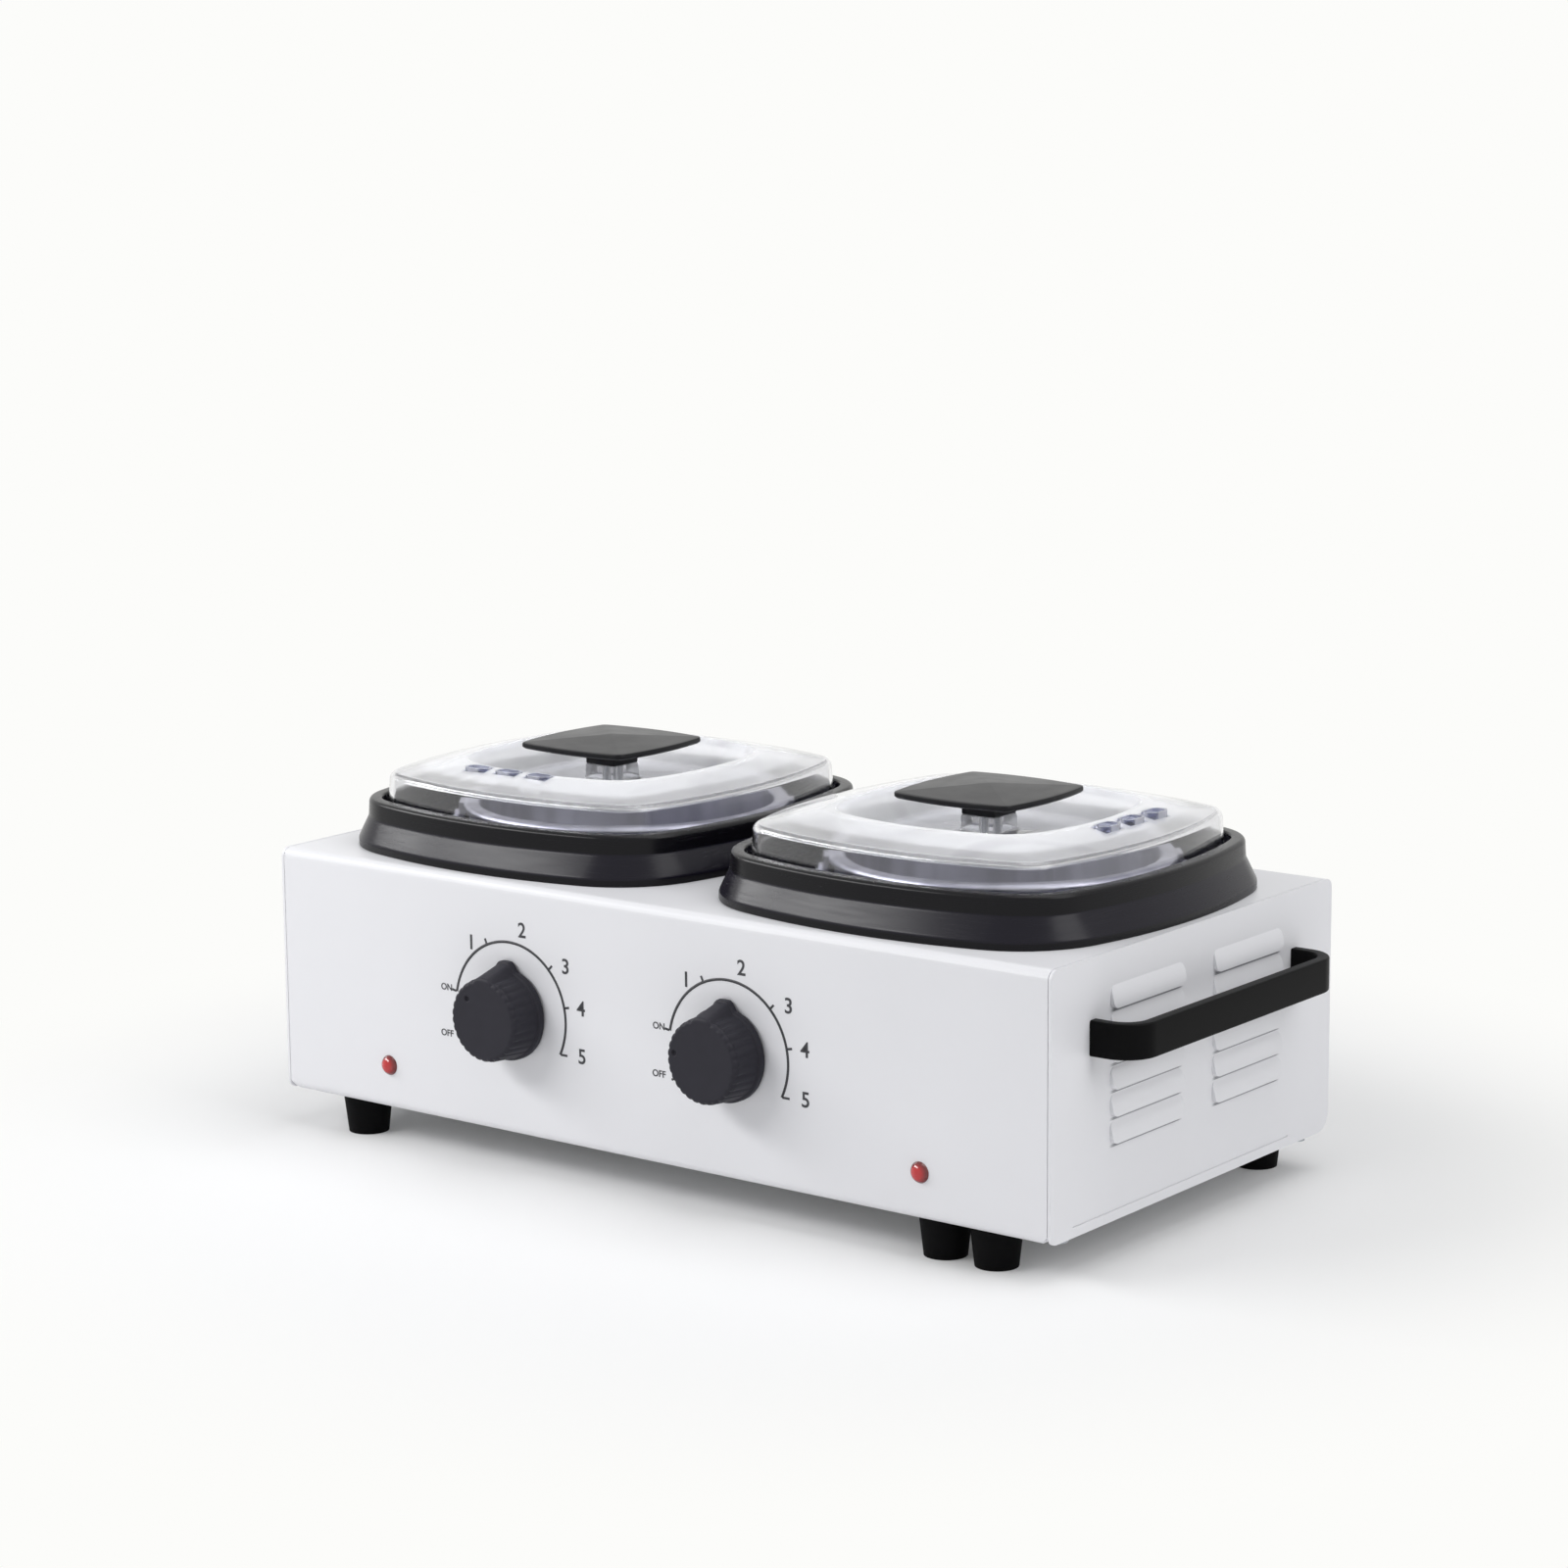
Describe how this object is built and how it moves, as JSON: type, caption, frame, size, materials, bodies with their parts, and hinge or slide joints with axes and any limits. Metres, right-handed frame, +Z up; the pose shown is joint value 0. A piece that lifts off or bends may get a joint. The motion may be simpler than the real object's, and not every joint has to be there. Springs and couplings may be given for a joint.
{
  "type": "double wax warmer",
  "caption": "Low white sheet-metal wax warmer with two round pots under clear square lids, black collars, knobs and side handles, on rubber feet.",
  "frame": {"origin": "centre of the overall box on the table plane, under the feet", "axes": "+X along the front to the right as seen from the front, +Y from the front to the back, +Z up"},
  "size_m": [0.376, 0.197, 0.1432],
  "materials": {
    "housing_white": "satin",
    "black_moulding": "satin",
    "handle_black": "satin",
    "knob_charcoal": "satin",
    "lid_clear": "gloss",
    "pot_aluminium": "brushed",
    "well_aluminium": "satin",
    "zinc_steel": "satin",
    "foot_rubber": "matte",
    "lamp_red": "gloss",
    "brass": "satin",
    "mica": "matte",
    "glass_wool": "matte",
    "bakelite": "satin",
    "terminal_white": "satin"
  },
  "bodies": {
    "warmer": {"housing_shell": "housing_white", "back_panel": "housing_white", "lap_screws": "zinc_steel", "side_panel_left": "housing_white", "side_panel_right": "housing_white", "bottom_plate": "zinc_steel", "base_screws": "zinc_steel", "foot_front_left": "foot_rubber", "foot_front_right": "foot_rubber", "foot_rear_left": "foot_rubber", "foot_rear_right": "foot_rubber", "foot_fifth": "foot_rubber", "foot_screws": "zinc_steel", "carry_handle_left": "handle_black", "carry_handle_right": "handle_black", "carry_handle_screws": "zinc_steel", "collar_left": "black_moulding", "collar_right": "black_moulding", "collar_screws": "zinc_steel", "heating_well_left": "well_aluminium", "heating_well_right": "well_aluminium", "band_heater_left": "mica", "band_heater_right": "mica", "insulation_left": "glass_wool", "insulation_right": "glass_wool", "thermostat_left": "bakelite", "thermostat_right": "bakelite", "thermostat_nuts": "zinc_steel", "sensing_bulb_left": "brass", "sensing_bulb_right": "brass", "bulb_clips": "zinc_steel", "lamp_lens_left": "lamp_red", "lamp_lens_right": "lamp_red", "lamp_body_left": "handle_black", "lamp_body_right": "handle_black", "lamp_clips": "zinc_steel", "terminal_block": "terminal_white", "terminal_screws": "brass", "earth_stud": "brass", "cord_gland": "handle_black", "cord_gland_nut": "handle_black"},
    "knob_left_body": {"knob_left": "knob_charcoal", "thermostat_shaft_left": "zinc_steel"},
    "knob_right_body": {"knob_right": "knob_charcoal", "thermostat_shaft_right": "zinc_steel"},
    "pot_left_body": {"pot_left": "pot_aluminium", "bail_rivets_left": "zinc_steel"},
    "pot_right_body": {"pot_right": "pot_aluminium", "bail_rivets_right": "zinc_steel"},
    "bail_left_body": {"bail_left": "pot_aluminium"},
    "bail_right_body": {"bail_right": "pot_aluminium"},
    "lid_left_body": {"lid_left": "lid_clear", "lid_handle_left": "black_moulding", "lid_screw_left": "zinc_steel"},
    "lid_right_body": {"lid_right": "lid_clear", "lid_handle_right": "black_moulding", "lid_screw_right": "zinc_steel"}
  },
  "joints": [
    {"name": "knob_left_turn", "type": "hinge", "parent": "warmer", "child": "knob_left_body", "pos_m": [-0.0592, -0.0835, 0.0584], "axis": [0, 1, 0], "range_deg": [-117, 117]},
    {"name": "knob_right_turn", "type": "hinge", "parent": "warmer", "child": "knob_right_body", "pos_m": [0.0388, -0.0835, 0.0584], "axis": [0, 1, 0], "range_deg": [-117, 117]},
    {"name": "pot_left_lift", "type": "slide", "parent": "warmer", "child": "pot_left_body", "axis": [0, 0, 1], "range_m": [0, 0.12]},
    {"name": "bail_left_swing", "type": "hinge", "parent": "pot_left_body", "child": "bail_left_body", "pos_m": [-0.0849, 0.0125, 0.1119], "axis": [-0.788, -0.6157, 0], "range_deg": [0, 8]},
    {"name": "lid_left_lift", "type": "slide", "parent": "pot_left_body", "child": "lid_left_body", "axis": [0, 0, 1], "range_m": [0, 0.1]},
    {"name": "pot_right_lift", "type": "slide", "parent": "warmer", "child": "pot_right_body", "axis": [0, 0, 1], "range_m": [0, 0.12]},
    {"name": "bail_right_swing", "type": "hinge", "parent": "pot_right_body", "child": "bail_right_body", "pos_m": [0.0849, 0.0125, 0.1119], "axis": [-0.788, -0.6157, 0], "range_deg": [0, 8]},
    {"name": "lid_right_lift", "type": "slide", "parent": "pot_right_body", "child": "lid_right_body", "axis": [0, 0, 1], "range_m": [0, 0.1]}
  ]
}
